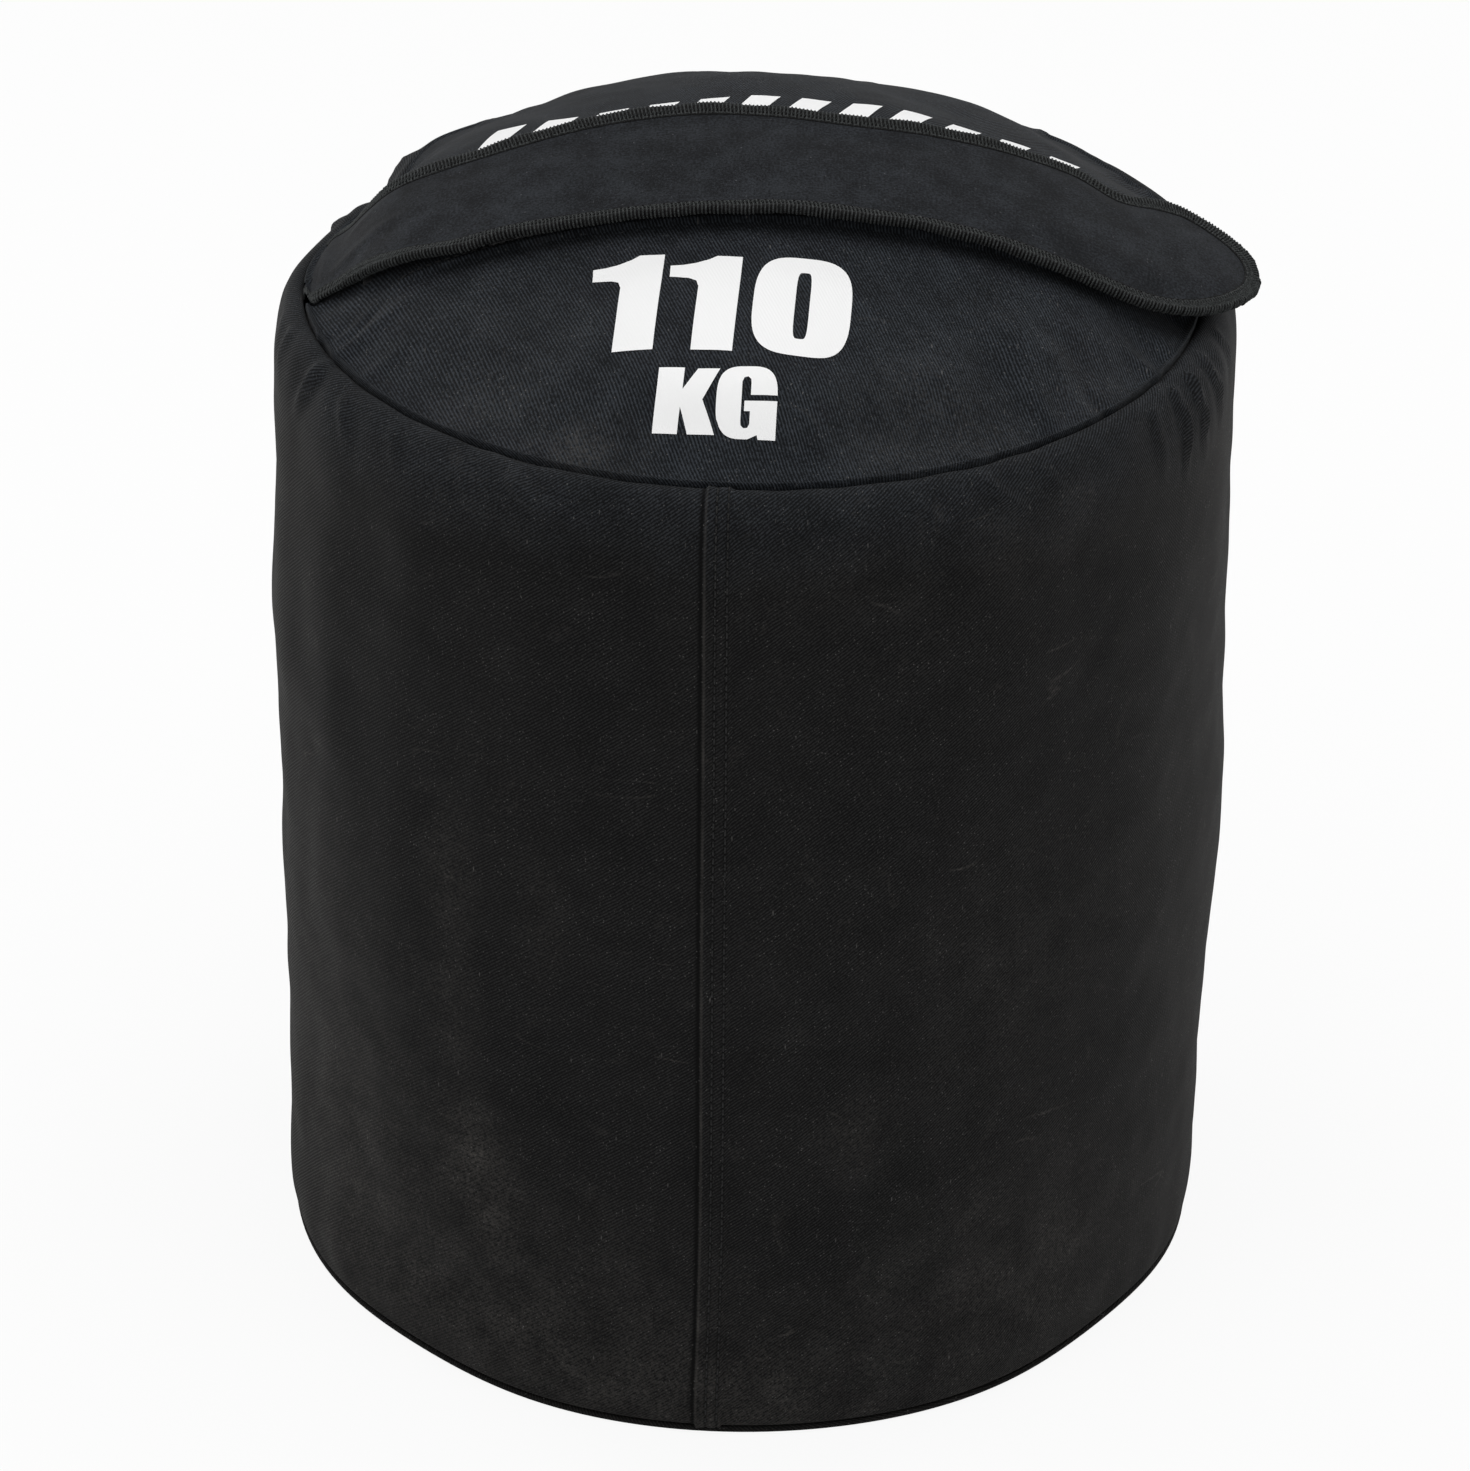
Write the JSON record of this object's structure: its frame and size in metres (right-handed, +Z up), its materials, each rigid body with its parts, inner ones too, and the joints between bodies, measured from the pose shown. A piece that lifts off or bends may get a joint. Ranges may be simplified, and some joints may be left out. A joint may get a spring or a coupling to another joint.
{
  "type": "training sandbag",
  "caption": "Free-standing cylindrical training sandbag in black woven cloth: a sand-filled drum with a domed top whose zip lies under a long cover flap with a rounded free end.",
  "frame": {"origin": "centre of the base, on the floor", "axes": "+Z up along the drum's axis; -Y is the front, where the wall's seam runs down; +X is the free end of the cover flap"},
  "size_m": [0.4393, 0.4313, 0.5473],
  "materials": {
    "canvas": "matte",
    "flap_cloth": "matte",
    "overlock_thread": "matte",
    "binding_tape": "matte",
    "hook_and_loop": "matte",
    "zip_plastic": "satin",
    "slider_metal": "satin",
    "liner_cloth": "matte",
    "tie_nylon": "satin",
    "sand": "matte"
  },
  "bodies": {
    "bag": {"side_wall": "canvas", "base_panel": "canvas", "rim_binding": "binding_tape", "base_binding": "binding_tape", "top_panel_front": "canvas", "top_panel_rear": "canvas", "loop_tape_front": "hook_and_loop", "loop_tape_rear": "hook_and_loop", "zip_stringer_front": "zip_plastic", "zip_stringer_rear": "zip_plastic", "zip_bottom_stop": "zip_plastic", "flap_root": "flap_cloth", "liner_bag": "liner_cloth", "liner_tie": "tie_nylon", "sand_fill": "sand"},
    "flap": {"flap_cover": "flap_cloth", "flap_lining": "flap_cloth", "flap_overlock": "overlock_thread", "hook_tape_front": "hook_and_loop", "hook_tape_rear": "hook_and_loop"},
    "slider": {"zip_slider": "slider_metal"},
    "pull": {"zip_pull": "slider_metal"}
  },
  "joints": [
    {"name": "flap_lift", "type": "hinge", "parent": "bag", "child": "flap", "pos_m": [-0.19168, -0.02433, 0.48507], "axis": [0, -0.9972, -0.0749], "range_deg": [0, 150]},
    {"name": "slider_travel", "type": "hinge", "parent": "bag", "child": "slider", "pos_m": [0, 0, 0.16105], "axis": [0, -0.9972, -0.0749], "range_deg": [0, 39.5], "deforming": ["zip_stringer_front", "zip_stringer_rear"]},
    {"name": "pull_lift", "type": "hinge", "parent": "slider", "child": "pull", "pos_m": [0.12967, -0.0264, 0.51267], "axis": [0, 0.9972, 0.0749], "range_deg": [0, 7]}
  ]
}
